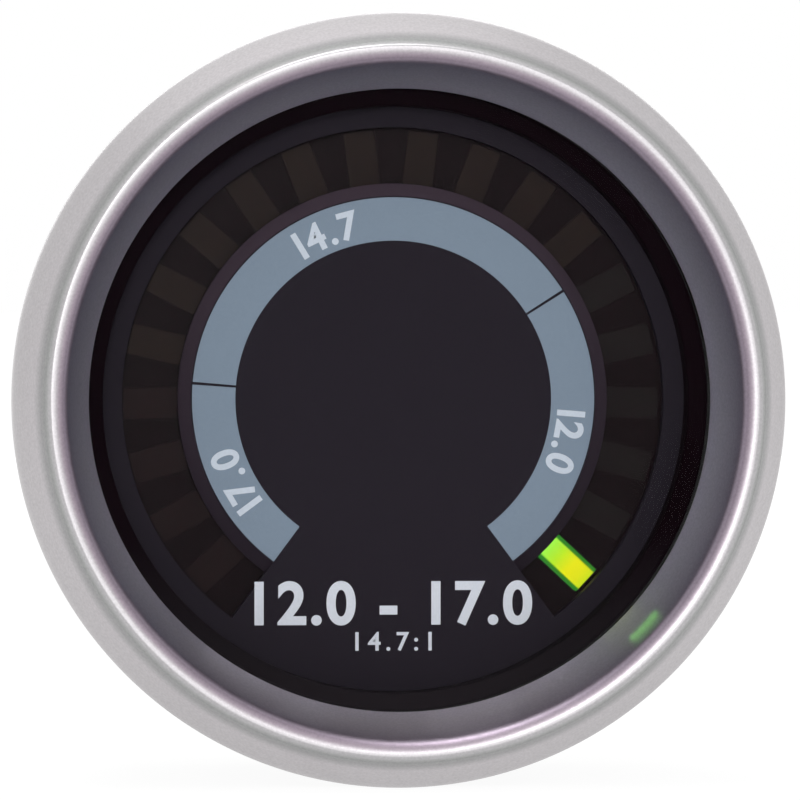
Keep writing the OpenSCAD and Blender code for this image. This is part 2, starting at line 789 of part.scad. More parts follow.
module chip_resistors() {
    color([0.14, 0.14, 0.15]) facing_front()
        at_places(resistor_places) translate([0, 0, driver_front]) {
            block(resistor_l, resistor_w, 0, resistor_h - resistor_step);
            for (side = [-1, 1]) translate([side * (resistor_l - resistor_end_l) / 2, 0, 0])
                block(resistor_end_l, resistor_w, 0, resistor_h);
        }
}

// Can capacitor on a square base with two cut corners
module filter_capacitor() {
    base = can_base_w / 2;
    cut = can_base_w / 6;
    color([0.78, 0.78, 0.8]) facing_front() translate([-can_x, 0, driver_front]) {
        linear_extrude(height = can_base_h) polygon([
            [-base, -base], [base - cut, -base], [base, cut - base],
            [base, base - cut], [base - cut, base], [-base, base]
        ]);
        rotate_extrude() polygon([
            [0, 0],
            [can_r, 0],
            [can_r, can_base_h],
            [can_r - can_groove, can_base_h + can_groove],
            [can_r, can_base_h + 2 * can_groove],
            [can_r, can_h - can_groove],
            [can_r - can_groove, can_h],
            [0, can_h]
        ]);
    }
}

// Flat regulator on the back of the rear board, with its tab and two leads
module voltage_regulator() {
    color([0.11, 0.11, 0.11]) facing_front() translate([-regulator_x, 0, driver_back])
        rotate([180, 0, 0]) {
            block(regulator_l, regulator_w, 0, regulator_h);
            translate([regulator_l / 2, 0, 0])
                block(2 * tab_out, regulator_w - 2 * tab_t, 0, tab_t);
            for (side = [-1, 1]) translate([-regulator_l / 2, side * regulator_w / 3, 0])
                block(2 * tab_out, 2 * tab_t, 0, tab_t);
        }
}

module protection_diode() {
    color([0.12, 0.12, 0.13]) facing_front()
        translate([diode_place.x, diode_place.y, driver_back]) rotate([180, 0, 0]) {
            block(diode_l, diode_w, 0, diode_h);
            block(diode_l + tab_out, diode_w / 2, 0, tab_t);
        }
}

// Shrouded socket on the rear board, with its mouth behind the case
module harness_socket() {
    out_w = socket_w + 2 * socket_wall;
    out_l = socket_l + 2 * socket_wall;
    color([0.86, 0.85, 0.8]) facing_front() difference() {
        translate([socket_x, 0, 0]) block(out_w, out_l, socket_mouth, driver_back);
        translate([socket_x, 0, 0])
            block(socket_w, socket_l, socket_mouth - overrun, socket_floor_z);
        translate([socket_x + socket_w / 2, 0, 0])
            block(2 * (socket_wall + overrun), keyway_w, socket_mouth - overrun,
                socket_mouth + keyway_h);
        pin_holes(contact_places, socket_floor_z, driver_back);
    }
}

module contact_pins() {
    color([0.8, 0.68, 0.35]) facing_front() at_places(contact_places)
        block(pin_w, pin_w, socket_floor_z - contact_h, driver_front + pin_out);
}

// Moulded cup: flange, neck, barrel, back, board ribs and stud pockets
module case() {
    color([0.06, 0.06, 0.065]) facing_front() difference() {
        union() {
            rotate_extrude() polygon(rounded([
                [0, case_back, 0],
                [barrel_r, case_back, back_edge_r],
                [barrel_r, 0, 0],
                [neck_r, 0, 0],
                [neck_r, flange_back, 0],
                [flange_r, flange_back, 0],
                [flange_r, flange_front, 0],
                [inner_r, flange_front, 0],
                [inner_r, floor_z, 0],
                [0, floor_z, 0]
            ]));
            for (i = [0 : rib_count - 1]) rotate(i * 360 / rib_count)
                translate([inner_r - rib_in, -rib_w / 2, floor_z - case_wall / 2])
                    cube([rib_in + case_wall / 2, rib_w, led_board_back - floor_z + case_wall / 2]);
            at_studs() translate([0, 0, floor_z - case_wall / 2])
                linear_extrude(height = pocket_h + case_wall / 2)
                    hexagon(hex_flats + 2 * (thread_gap + pocket_wall));
        }
        at_studs() {
            translate([0, 0, floor_z]) linear_extrude(height = pocket_h + overrun)
                hexagon(hex_flats + 2 * thread_gap);
            translate([0, 0, case_back - overrun])
                cylinder(r = stud_r + thread_gap, h = case_wall + 2 * overrun);
        }
        translate([socket_x, 0, 0])
            block(socket_w + 2 * (socket_wall + socket_gap),
                socket_l + 2 * (socket_wall + socket_gap),
                case_back - overrun, floor_z + overrun);
    }
}

module mounting_studs() {
    color([0.66, 0.66, 0.62]) facing_front() at_studs() {
        translate([0, 0, floor_z]) linear_extrude(height = stud_head_h) hexagon(hex_flats);
        rotate_extrude() polygon([
            [0, case_back - stud_out],
            [stud_r - stud_tip, case_back - stud_out],
            [stud_r, case_back - stud_out + stud_tip],
            [stud_r, floor_z + stud_head_h / 2],
            [0, floor_z + stud_head_h / 2]
        ]);
    }
}

module stud_washers() {
    color([0.7, 0.7, 0.68]) facing_front() at_studs()
        ring(stud_r + thread_gap, washer_r, jam_front, case_back);
}

// Hexagonal nuts with their corners turned off
module jam_nuts() {
    chamfer = jam_t / 6;
    corner_r = hex_flats / 2 / cos(30);
    color([0.68, 0.66, 0.58]) facing_front() at_studs() difference() {
        intersection() {
            translate([0, 0, jam_back]) linear_extrude(height = jam_t) hexagon(hex_flats);
            rotate_extrude() polygon([
                [0, jam_back],
                [corner_r - 2 * chamfer, jam_back],
                [corner_r, jam_back + chamfer],
                [corner_r, jam_front - chamfer],
                [corner_r - 2 * chamfer, jam_front],
                [0, jam_front]
            ]);
        }
        translate([0, 0, jam_back - overrun])
            cylinder(r = stud_r + thread_gap, h = jam_t + 2 * overrun);
    }
}

leg_in = barrel_r + leg_gap;
leg_out = leg_in + strap_t;

// The strap seen from its edge: two legs and the web between them
module strap_side() {
    polygon(rounded([
        [-leg_out, -panel_t, 0],
        [-leg_out, web_back, bend_r + strap_t],
        [leg_out, web_back, bend_r + strap_t],
        [leg_out, -panel_t, 0],
        [leg_in, -panel_t, 0],
        [leg_in, web_front, bend_r],
        [-leg_in, web_front, bend_r],
        [-leg_in, -panel_t, 0]
    ]));
}

// A wedge across one bend, with its two legs on the strap's faces
module gusset_wedge(side, y, z, legs, width) {
    rotate([90, 0, 90]) linear_extrude(height = width, center = true)
        polygon([[side * y, z], [side * y, z + legs], [side * (y - legs), z]]);
}

// U-shaped strap with rounded leg tips, a hole for each stud and a gusset in each bend
module bracket() {
    strap_l = -panel_t - web_back + 2 * tip_r;
    color([0.62, 0.62, 0.6]) facing_front() difference() {
        union() {
            intersection() {
                rotate([90, 0, 90]) linear_extrude(height = strap_w, center = true) strap_side();
                translate([0, 0, -panel_t - strap_l / 2]) rotate([90, 0, 0])
                    linear_extrude(height = 2 * leg_out + 2 * overrun, center = true)
                        polygon(rounded(box_corners(strap_w, strap_l, tip_r)));
            }
            for (side = [-1, 1])
                gusset_wedge(side, leg_in + strap_t / 2, web_front - strap_t / 2,
                    gusset_l + strap_t, gusset_w);
        }
        for (side = [-1, 1])
            gusset_wedge(side, leg_out + overrun, web_back - overrun,
                gusset_l + strap_t * (2 - sqrt(2)) + 2 * overrun, gusset_w - strap_t);
        at_studs() translate([0, 0, web_back - overrun])
            cylinder(r = stud_r + strap_hole_gap, h = strap_t + 2 * overrun);
    }
}

module lock_washers() {
    color([0.6, 0.6, 0.6]) facing_front() at_studs() difference() {
        ring(stud_r + thread_gap, lock_r, nut_front, web_back);
        translate([stud_r + lock_r / 2, 0, 0])
            block(lock_r, lock_split, nut_front - overrun, web_back + overrun);
    }
}

// Thumb nut: collar against the lock washer and a fluted head behind it
module thumb_nut() {
    head_front = nut_front - collar_h;
    head_back = head_front - nut_h;
    difference() {
        union() {
            translate([0, 0, head_front - overrun])
                cylinder(r = collar_r, h = collar_h + overrun);
            intersection() {
                translate([0, 0, head_back]) linear_extrude(height = nut_h) difference() {
                    circle(r = nut_r);
                    for (i = [0 : flute_count - 1]) rotate(i * 360 / flute_count)
                        translate([nut_r + flute_r - flute_h, 0]) circle(r = flute_r);
                }
                rotate_extrude() polygon([
                    [0, head_back],
                    [nut_r - nut_bevel, head_back],
                    [nut_r, head_back + nut_bevel],
                    [nut_r, head_front - nut_bevel],
                    [nut_r - nut_bevel, head_front],
                    [0, head_front]
                ]);
            }
        }
        translate([0, 0, head_back - overrun])
            cylinder(r = stud_r + thread_gap, h = nut_h + collar_h + 2 * overrun);
    }
}

module upper_thumb_nut() {
    color([0.78, 0.66, 0.36]) facing_front() translate([0, stud_y, 0]) thumb_nut();
}

module lower_thumb_nut() {
    color([0.78, 0.66, 0.36]) facing_front() translate([0, -stud_y, 0]) thumb_nut();
}

bezel();
lens();
lens_gasket();
spacer_ring();
dial_plate();
smoke_filter();
light_housing();
lean_diffusers();
centre_diffusers();
rich_diffusers();
lit_diffuser();
lean_leds();
centre_leds();
rich_leds();
led_board();
board_header();
board_posts();
board_screws();
driver_board();
driver_chips();
chip_resistors();
filter_capacitor();
voltage_regulator();
protection_diode();
harness_socket();
contact_pins();
case();
mounting_studs();
stud_washers();
jam_nuts();
bracket();
lock_washers();
upper_thumb_nut();
lower_thumb_nut();
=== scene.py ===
import math

import bpy
from mathutils import Matrix, Vector


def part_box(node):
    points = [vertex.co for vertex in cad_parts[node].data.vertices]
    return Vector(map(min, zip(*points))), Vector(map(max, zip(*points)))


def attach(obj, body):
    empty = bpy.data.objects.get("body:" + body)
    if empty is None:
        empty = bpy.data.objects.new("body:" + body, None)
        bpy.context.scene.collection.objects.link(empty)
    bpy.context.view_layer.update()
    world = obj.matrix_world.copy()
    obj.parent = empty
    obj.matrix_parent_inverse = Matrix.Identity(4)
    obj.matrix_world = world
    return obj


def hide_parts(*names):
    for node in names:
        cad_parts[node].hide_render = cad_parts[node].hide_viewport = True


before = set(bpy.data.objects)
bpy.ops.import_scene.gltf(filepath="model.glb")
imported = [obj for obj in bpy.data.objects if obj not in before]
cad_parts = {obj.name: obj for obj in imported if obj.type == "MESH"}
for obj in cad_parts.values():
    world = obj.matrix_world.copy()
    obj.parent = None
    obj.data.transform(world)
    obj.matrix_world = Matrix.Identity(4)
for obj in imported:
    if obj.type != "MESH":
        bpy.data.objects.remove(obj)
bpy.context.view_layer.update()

MM = 0.001
# Two points closer than this are one
WELD = 0.002 * MM

# Places on the gauge's axis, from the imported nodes; forwards is towards -Y
rim_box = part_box("bezel")
lens_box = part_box("lens")
spacer_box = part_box("spacer_ring")
dial_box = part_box("dial_plate")
smoke_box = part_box("smoke_filter")
case_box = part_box("case")
stud_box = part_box("mounting_studs")
RIM_R = rim_box[1].x
RIM_FRONT = rim_box[0].y
LENS_FRONT = lens_box[0].y
LENS_BACK = lens_box[1].y
DIAL_FRONT = dial_box[0].y
CASE_BACK = case_box[1].y
STUD_TIP_Y = stud_box[1].y
# From the lip out to the rim's edge
RIM_W = 5.6 * MM


# Working on a mesh

def deselect():
    bpy.ops.object.select_all(action="DESELECT")


def pick(piece):
    deselect()
    piece.select_set(True)
    bpy.context.view_layer.objects.active = piece


def weld_and_turn_out():
    """Joins points that lie together and points the faces outwards, in edit mode."""
    bpy.ops.mesh.select_all(action="SELECT")
    bpy.ops.mesh.remove_doubles(threshold=WELD)
    bpy.ops.mesh.normals_make_consistent(inside=False)


def put_down(piece, smooth_deg=35):
    """Leaves edit mode with the piece's place in its mesh and its soft edges shaded smooth."""
    if bpy.context.mode != "OBJECT":
        bpy.ops.object.mode_set(mode="OBJECT")
    pick(piece)
    bpy.ops.object.transform_apply(location=True, rotation=True, scale=True)
    bpy.ops.object.shade_smooth_by_angle(angle=math.radians(smooth_deg))
    return piece


def draw_outline(name, points, closed=True):
    """Draws edges from one point to the next, and stays in edit mode."""
    deselect()
    bpy.ops.mesh.primitive_plane_add(size=MM, location=points[0])
    piece = bpy.context.object
    piece.name = name
    bpy.ops.object.mode_set(mode="EDIT")
    bpy.ops.mesh.merge(type="CENTER")
    onwards = points[1:] + points[:1] if closed else points[1:]
    for here, there in zip(points, onwards):
        step = Vector(there) - Vector(here)
        bpy.ops.mesh.extrude_vertices_move(TRANSFORM_OT_translate={"value": step})
    bpy.ops.mesh.select_all(action="SELECT")
    bpy.ops.mesh.remove_doubles(threshold=WELD)
    return piece


def rounded(corners, steps=10):
    """Points of an outline whose corners (x, y, radius) are rounded by arcs."""
    points = []
    for i, (x, y, radius) in enumerate(corners):
        corner = Vector((x, y))
        if radius == 0:
            points.append(corner)
            continue
        back = (Vector(corners[i - 1][:2]) - corner).normalized()
        on = (Vector(corners[(i + 1) % len(corners)][:2]) - corner).normalized()
        half = back.angle(on) / 2
        centre = corner + (back + on).normalized() * radius / math.sin(half)
        start = corner + back * radius / math.tan(half) - centre
        end = corner + on * radius / math.tan(half) - centre
        sweep = math.pi - 2 * half
        for k in range(steps + 1):
            first, second = math.sin(sweep * (1 - k / steps)), math.sin(sweep * k / steps)
            points.append(centre + (start * first + end * second) / math.sin(sweep))
    return points


def turned(name, points, closed=True, steps=256):
    """A piece turned about the gauge's axis from points (radius, y)."""
    piece = draw_outline(name, [(r, y, 0) for r, y in points], closed)
    bpy.ops.mesh.spin(steps=steps, angle=math.tau, center=(0, 0, 0), axis=(0, 1, 0))
    weld_and_turn_out()
    return piece


def copied(node, name, bevel=0.0):
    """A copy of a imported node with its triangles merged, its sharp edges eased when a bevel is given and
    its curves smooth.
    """
    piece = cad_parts[node].copy()
    piece.data = piece.data.copy()
    piece.parent = None
    for key in list(piece.keys()):
        del piece[key]
    piece.name = name
    bpy.context.scene.collection.objects.link(piece)
    pick(piece)
    bpy.ops.object.mode_set(mode="EDIT")
    bpy.ops.mesh.select_all(action="SELECT")
    bpy.ops.mesh.remove_doubles(threshold=WELD)
    bpy.ops.mesh.dissolve_limited(angle_limit=math.radians(0.5))
    bpy.ops.object.mode_set(mode="OBJECT")
    if bevel:
        ease = piece.modifiers.new("ease", "BEVEL")
        ease.width = bevel
        ease.segments = 2
        ease.limit_method = "ANGLE"
        ease.angle_limit = math.radians(40)
        bpy.ops.object.modifier_apply(modifier=ease.name)
    return put_down(piece)


def dress(piece, material, body, slot, *nodes):
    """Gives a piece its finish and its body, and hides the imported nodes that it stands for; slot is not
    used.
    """
    piece.data.materials.clear()
    piece.data.materials.append(material)
    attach(piece, body)
    if nodes:
        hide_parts(*nodes)


# Finishes

class Finish:
    """A material with one Principled shader, and short calls for the nodes that drive it."""

    def __init__(self, name, colour, roughness, metal=0.0, shine=0.5):
        self.material = bpy.data.materials.new(name)
        self.material.use_nodes = True
        self.nodes = self.material.node_tree.nodes
        self.links = self.material.node_tree.links
        self.shader = self.nodes["Principled BSDF"]
        self.shader.inputs["Base Color"].default_value = (*colour, 1)
        self.shader.inputs["Roughness"].default_value = roughness
        self.shader.inputs["Metallic"].default_value = metal
        self.shader.inputs["Specular IOR Level"].default_value = shine
        self.place = self.nodes.new("ShaderNodeTexCoord").outputs["Object"]

    def link(self, start, end):
        self.links.new(start, end)

    def noise(self, scale, detail=3.0, place=None):
        node = self.nodes.new("ShaderNodeTexNoise")
        node.inputs["Scale"].default_value = scale
        node.inputs["Detail"].default_value = detail
        node.inputs["Roughness"].default_value = 0.55
        self.link(place or self.place, node.inputs["Vector"])
        return node.outputs["Fac"]

    def cells(self, scale):
        node = self.nodes.new("ShaderNodeTexVoronoi")
        node.inputs["Scale"].default_value = scale
        self.link(self.place, node.inputs["Vector"])
        return node.outputs["Distance"]

    def stretched(self, scale):
        """Coordinates stretched by a factor on each axis."""
        node = self.nodes.new("ShaderNodeMapping")
        node.inputs["Scale"].default_value = scale
        self.link(self.place, node.inputs["Vector"])
        return node.outputs["Vector"]

    def ranged(self, value, low, high, start=0.0, end=1.0):
        """Value, from start to end, as a number from low to high."""
        node = self.nodes.new("ShaderNodeMapRange")
        node.inputs["From Min"].default_value = start
        node.inputs["From Max"].default_value = end
        node.inputs["To Min"].default_value = low
        node.inputs["To Max"].default_value = high
        self.link(value, node.inputs["Value"])
        return node.outputs["Result"]

    def ramp(self, value, stops):
        """A colour for each value, between stops (place, colour)."""
        node = self.nodes.new("ShaderNodeValToRGB")
        bar = node.color_ramp.elements
        while len(bar) < len(stops):
            bar.new(0.5)
        for element, (place, colour) in zip(bar, stops):
            element.position = place
            element.color = (*colour, 1)
        self.link(value, node.inputs["Fac"])
        return node.outputs["Color"]

    def axes(self, place=None):
        """The X, Y and Z of a place, as three numbers."""
        node = self.nodes.new("ShaderNodeSeparateXYZ")
        self.link(place or self.place, node.inputs["Vector"])
        return node.outputs

    def maths(self, operation, *values):
        """A number worked out from others, each a plain one or a node's output."""
        node = self.nodes.new("ShaderNodeMath")
        node.operation = operation
        for socket, value in zip(node.inputs, values):
            if isinstance(value, float):
                socket.default_value = value
            else:
                self.link(value, socket)
        return node.outputs["Value"]

    def colour(self, output):
        self.link(output, self.shader.inputs["Base Color"])
        return self

    def roughness(self, output):
        self.link(output, self.shader.inputs["Roughness"])
        return self

    def bump(self, height, strength, depth):
        node = self.nodes.new("ShaderNodeBump")
        node.inputs["Strength"].default_value = strength
        node.inputs["Distance"].default_value = depth
        self.link(height, node.inputs["Height"])
        self.link(node.outputs["Normal"], self.shader.inputs["Normal"])
        return self

    def matt(self, grain_scale):
        """A dull face with a fine grain."""
        self.roughness(self.ranged(self.noise(grain_scale / 2), 0.55, 0.68, 0.3, 0.7))
        return self.bump(self.noise(grain_scale), 0.06, 0.006 * MM)


def shades(colour, spread):
    """Two stops of a ramp, a little darker and a little lighter than a colour."""
    return [(0.3, tuple(c * (1 - spread) for c in colour)), (0.7, tuple(c * (1 + spread) for c in colour))]


def satin_rim():
    """Satin metal, with painted shade inside the crest and at its foot, a painted highlight on the crest, and
    painted light that makes it paler towards the lip.
    """
    made = Finish("satin rim", (0.465, 0.452, 0.465), 0.4, metal=1.0)
    parts = made.axes()
    flat = made.nodes.new("ShaderNodeCombineXYZ")
    made.link(parts["X"], flat.inputs["X"])
    made.link(parts["Z"], flat.inputs["Z"])
    length = made.nodes.new("ShaderNodeVectorMath")
    length.operation = "LENGTH"
    made.link(flat.outputs["Vector"], length.inputs[0])
    # From 0 at the lip to 1 at the rim's edge
    across = made.ranged(length.outputs["Value"], 0, 1, RIM_R - RIM_W, RIM_R)
    # Painted light by radius: a painted highlight on the crest, painted shade inside it and in the groove at
    # its foot, and a paler painted reflection towards the lip
    painted_light_tone = made.ramp(across, [
        (0.0, (0.72, 0.66, 0.74)), (0.12, (0.6, 0.55, 0.6)), (0.25, (0.45, 0.4, 0.455)),
        (0.32, (0.36, 0.31, 0.37)), (0.38, (0.26, 0.215, 0.262)), (0.43, (0.4, 0.34, 0.39)),
        (0.48, (0.54, 0.515, 0.535)), (0.56, (0.5, 0.49, 0.5)), (0.61, (0.34, 0.345, 0.34)),
        (0.66, (0.35, 0.345, 0.35)), (0.74, (0.53, 0.505, 0.52)), (1.0, (0.51, 0.49, 0.5))])
    mix = made.nodes.new("ShaderNodeMix")
    mix.data_type = "RGBA"
    mix.blend_type = "MULTIPLY"
    mix.inputs["Factor"].default_value = 1.0
    made.link(painted_light_tone, mix.inputs["A"])
    made.link(made.ramp(made.noise(5000, detail=2), shades((0.95, 0.95, 0.95), 0.08)), mix.inputs["B"])
    made.colour(mix.outputs["Result"])
    return made.roughness(made.ranged(made.noise(2600), 0.36, 0.43, 0.3, 0.7)).material


def clear_lens():
    """Glass that lets the lamps through, with a faint gloss that grows at a slant."""
    made = Finish("clear lens", (1, 1, 1), 0.05)
    clear = made.nodes.new("ShaderNodeBsdfTransparent")
    gloss = made.nodes.new("ShaderNodeBsdfGlossy")
    gloss.inputs["Roughness"].default_value = 0.04
    slant = made.nodes.new("ShaderNodeFresnel")
    slant.inputs["IOR"].default_value = 1.075
    mix = made.nodes.new("ShaderNodeMixShader")
    made.link(slant.outputs["Fac"], mix.inputs["Fac"])
    made.link(clear.outputs["BSDF"], mix.inputs[1])
    made.link(gloss.outputs["BSDF"], mix.inputs[2])
    made.link(mix.outputs["Shader"], made.nodes["Material Output"].inputs["Surface"])
    made.nodes.remove(made.shader)
    return made.material


def gasket_rubber():
    colour = (0.02, 0.02, 0.02)
    made = Finish("gasket rubber", colour, 0.6, shine=0.2)
    made.colour(made.ramp(made.noise(1000), shades(colour, 0.12)))
    return made.matt(3000).material


def dial_black():
    """Deep black on the face, with painted light on the window's bevel: greyer there, most of all where it
    faces up.
    """
    black, painted_light_grey = (0.0148, 0.0112, 0.0178), (0.066, 0.047, 0.064)
    made = Finish("dial black", black, 0.6, shine=0.08)
    facing = made.axes(made.nodes.new("ShaderNodeNewGeometry").outputs["True Normal"])
    none, all_of_it = (0, 0, 0), (1, 1, 1)
    turned_away = made.ranged(facing["Y"], 0, 1, -1, 0)
    on_bevel = made.ramp(turned_away, [(0.1, none), (0.15, all_of_it), (0.3, all_of_it), (0.5, none)])
    # Painted light: the bevel is lighter where it faces up, as if lit from above
    painted_top_light = made.ranged(facing["Z"], 0.1, 1, -0.6, 0.6)
    made.colour(made.ramp(made.maths("MULTIPLY", on_bevel, painted_top_light), [(0.0, black), (1.0, painted_light_grey)]))
    return made.matt(4000).material


def surround_black():
    """Deep black, with painted light that makes it a little greyer round the bottom, where the light falls on
    it.
    """
    deep, painted_light_grey, middle = (0.005, 0.0015, 0.0032), (0.02, 0.016, 0.0195), (0.014, 0.011, 0.0135)
    made = Finish("surround black", deep, 0.6, shine=0.02)
    # Painted light by height: greyer towards the bottom, where light falls on the ring, and deep black above
    height = made.ranged(made.axes()["Z"], 0, 1, -23 * MM, -10 * MM)
    made.colour(made.ramp(height, [(0.0, painted_light_grey), (0.35, middle), (1.0, deep)]))
    return made.matt(1500).material


def moulded_case():
    colour = (0.013, 0.013, 0.014)
    made = Finish("moulded case", colour, 0.5, shine=0.4)
    made.colour(made.ramp(made.noise(400), shades(colour, 0.15)))
    made.roughness(made.ranged(made.noise(1500), 0.42, 0.6, 0.3, 0.7))
    return made.bump(made.cells(2200), 0.35, 0.04 * MM).material


def printed(name, colour):
    made = Finish(name, colour, 0.55, shine=0.25)
    made.colour(made.ramp(made.noise(5000), shades(colour, 0.035)))
    made.roughness(made.ranged(made.noise(3000), 0.5, 0.62, 0.3, 0.7))
    return made.bump(made.noise(12000), 0.1, 0.004 * MM).material


def smoked_plastic():
    colour = (0.0115, 0.0042, 0.0066)
    made = Finish("smoked plastic", colour, 0.22, shine=0.08)
    made.shader.inputs["Alpha"].default_value = 0.52
    made.roughness(made.ranged(made.noise(700), 0.2, 0.3, 0.3, 0.7))
    return made.bump(made.noise(1500), 0.03, 0.004 * MM).material


def tinted_cell(name, colour):
    made = Finish(name, colour, 0.35, shine=0.4)
    made.colour(made.ramp(made.noise(1500), shades(colour, 0.18)))
    made.roughness(made.ranged(made.noise(2500), 0.3, 0.45, 0.3, 0.7))
    return made.bump(made.noise(5000), 0.12, 0.01 * MM).material


# The light cells, and the last of them, which is lit
CELL_L = 4.0 * MM
CELL_W = 2.25 * MM
CELL_PITCH = math.radians(14)
CELL_COUNT = 20
LIT_ANGLE = math.pi / 2 - CELL_PITCH * (CELL_COUNT - 1) / 2
CELL_R = 18.055 * MM
LIT_PLACE = (CELL_R * math.cos(LIT_ANGLE), 0, CELL_R * math.sin(LIT_ANGLE))
LIT_STRENGTH = 4.4


def lit_cell():
    """Plastic lit from behind, yellow along its middle and green at its inner end and long sides."""
    made = Finish("lit cell", (0.3, 0.5, 0.03), 0.35, shine=0.4)
    on_cell = made.nodes.new("ShaderNodeMapping")
    on_cell.vector_type = "TEXTURE"
    on_cell.inputs["Location"].default_value = LIT_PLACE
    on_cell.inputs["Rotation"].default_value = (0, -LIT_ANGLE, 0)
    made.link(made.place, on_cell.inputs["Vector"])
    parts = made.axes(on_cell.outputs["Vector"])
    along = made.ranged(parts["X"], 0, 1, -CELL_L / 2, CELL_L / 2)
    core = made.ramp(along, [
        (0.0, (0.31, 0.88, 0.075)), (0.3, (0.44, 0.78, 0.02)), (0.6, (0.78, 0.76, 0.002)),
        (0.85, (0.72, 0.74, 0.004)), (1.0, (0.5, 0.68, 0.01))])
    side = made.ranged(made.maths("ABSOLUTE", parts["Z"]), 0, 1, 0.68 * CELL_W / 2, 0.8 * CELL_W / 2)
    mix = made.nodes.new("ShaderNodeMix")
    mix.data_type = "RGBA"
    mix.inputs["B"].default_value = (0.012, 0.19, 0.015, 1)
    made.link(side, mix.inputs["Factor"])
    made.link(core, mix.inputs["A"])
    made.link(mix.outputs["Result"], made.shader.inputs["Emission Color"])
    made.shader.inputs["Emission Strength"].default_value = LIT_STRENGTH
    return made.bump(made.noise(3000), 0.1, 0.01 * MM).material


def plated(name, colour, roughness, scale, stretch=(1, 1, 1)):
    """Bright plated or turned metal, with fine lines along the stretched axis."""
    made = Finish(name, colour, roughness, metal=1.0)
    made.colour(made.ramp(made.noise(scale / 8), shades(colour, 0.09)))
    lines = made.noise(scale, place=made.stretched(stretch))
    made.roughness(made.ranged(lines, roughness - 0.07, roughness + 0.1, 0.3, 0.7))
    return made.bump(lines, 0.1, 0.008 * MM).material


def plain_plastic(name, colour, roughness, scale, shine=0.4):
    made = Finish(name, colour, roughness, shine=shine)
    made.colour(made.ramp(made.noise(scale / 4), shades(colour, 0.08)))
    made.roughness(made.ranged(made.noise(scale / 2), roughness - 0.06, roughness + 0.08, 0.3, 0.7))
    return made.bump(made.noise(scale), 0.12, 0.01 * MM).material


def assign_finishes():
    """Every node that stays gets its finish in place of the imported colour."""
    dark = (0.012, 0.012, 0.013)
    board = plain_plastic("solder mask", (0.012, 0.11, 0.045), 0.35, 1500)
    chip = plain_plastic("chip epoxy", (0.015, 0.015, 0.016), 0.55, 3000)
    zinc = plated("bright zinc", (0.6, 0.61, 0.62), 0.3, 1500)
    light = plain_plastic("clear resin", (0.75, 0.72, 0.55), 0.3, 2000)
    finishes = {
        "dial_plate": dial_black(),
        "lens_gasket": gasket_rubber(),
        "light_housing": plain_plastic("housing black", (0.0035, 0.0025, 0.003), 0.6, 2000, 0.08),
        "lean_diffusers": tinted_cell("red-brown cell", (0.09, 0.034, 0.024)),
        "centre_diffusers": tinted_cell("amber-brown cell", (0.175, 0.115, 0.06)),
        "rich_diffusers": tinted_cell("green cell", (0.062, 0.08, 0.062)),
        "lit_diffuser": lit_cell(),
        "lean_leds": light, "centre_leds": light, "rich_leds": light,
        "led_board": board, "driver_board": board,
        "board_header": plain_plastic("header black", dark, 0.5, 2000),
        "board_posts": plated("post brass", (0.66, 0.5, 0.22), 0.3, 1500, (1, 0.1, 1)),
        "board_screws": zinc,
        "driver_chips": chip, "chip_resistors": chip, "voltage_regulator": chip, "protection_diode": chip,
        "filter_capacitor": plated("drawn can", (0.68, 0.68, 0.7), 0.25, 1200, (1, 0.1, 1)),
        "contact_pins": plated("tin plate", (0.72, 0.68, 0.58), 0.3, 1500),
    }
    for node, material in finishes.items():
        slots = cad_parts[node].data.materials
        slots.clear()
        slots.append(material)


# The rim

def rim_outline():
    """The spun rim's section, as (radius, forwards, corner radius) in millimetres."""
    rim_r = RIM_R / MM
    crest = -RIM_FRONT / MM
    seat = -LENS_FRONT / MM
    wall = 0.9
    hem_r = 26.2
    shoulder, flank_foot = (rim_r, 4.0), (rim_r - 2.1, crest - 0.65)
    crest_out_r, crest_w = rim_r - 2.52, 1.1
    lip_r = rim_r - RIM_W / MM
    outside = [
        (hem_r, 0, 0.1), (rim_r, 0, 0.5), (*shoulder, 4.0), (*flank_foot, 0.2),
        (crest_out_r, crest, 0.3), (crest_out_r - crest_w, crest, 1.2),
        (lip_r, seat + 0.3, 0.1), (lip_r, seat, 0),
    ]
    inside = [
        (23.85, seat, 0), (25.58, 8.05, 0), (rim_r - wall, 3.8, 0), (rim_r - wall, wall, 0), (hem_r, wall, 0),
    ]
    return outside + inside


def make_rim():
    points = [(x * MM, -y * MM) for x, y in rounded(rim_outline(), 12)]
    rim = put_down(turned("rim", points, steps=360), 30)
    dress(rim, satin_rim(), "case", "satin_rim", "bezel")


def make_lens():
    edge_r = lens_box[1].x
    ease = 0.2 * MM
    points = [(0, LENS_BACK), (edge_r - ease, LENS_BACK), (edge_r, LENS_BACK - ease),
              (edge_r, LENS_FRONT + ease), (edge_r - ease, LENS_FRONT), (0, LENS_FRONT)]
    lens = put_down(turned("lens_pane", points, closed=False), 30)
    dress(lens, clear_lens(), "case", "lens_glass", "lens")


def make_spacer():
    """The black ring that steps from the lens down to the dial, with a soft edge at its throat."""
    edge_r = spacer_box[1].x / MM
    front, back = -spacer_box[0].y / MM, -spacer_box[1].y / MM
    throat_r, step = edge_r - 2.35, 2.6
    corners = [(throat_r, back, 0), (edge_r, back, 0), (edge_r, front, 0), (edge_r - 1.25, front, 0.1),
               (throat_r, back + step, 0.5)]
    points = [(x * MM, -y * MM) for x, y in rounded(corners)]
    ring = put_down(turned("dial_surround", points), 30)
    dress(ring, surround_black(), "case", "black_plastic", "spacer_ring")


# The share of the smoked filter's thickness that its piece keeps, so that it clears the cells behind it
WINDOW_SHARE = 0.92


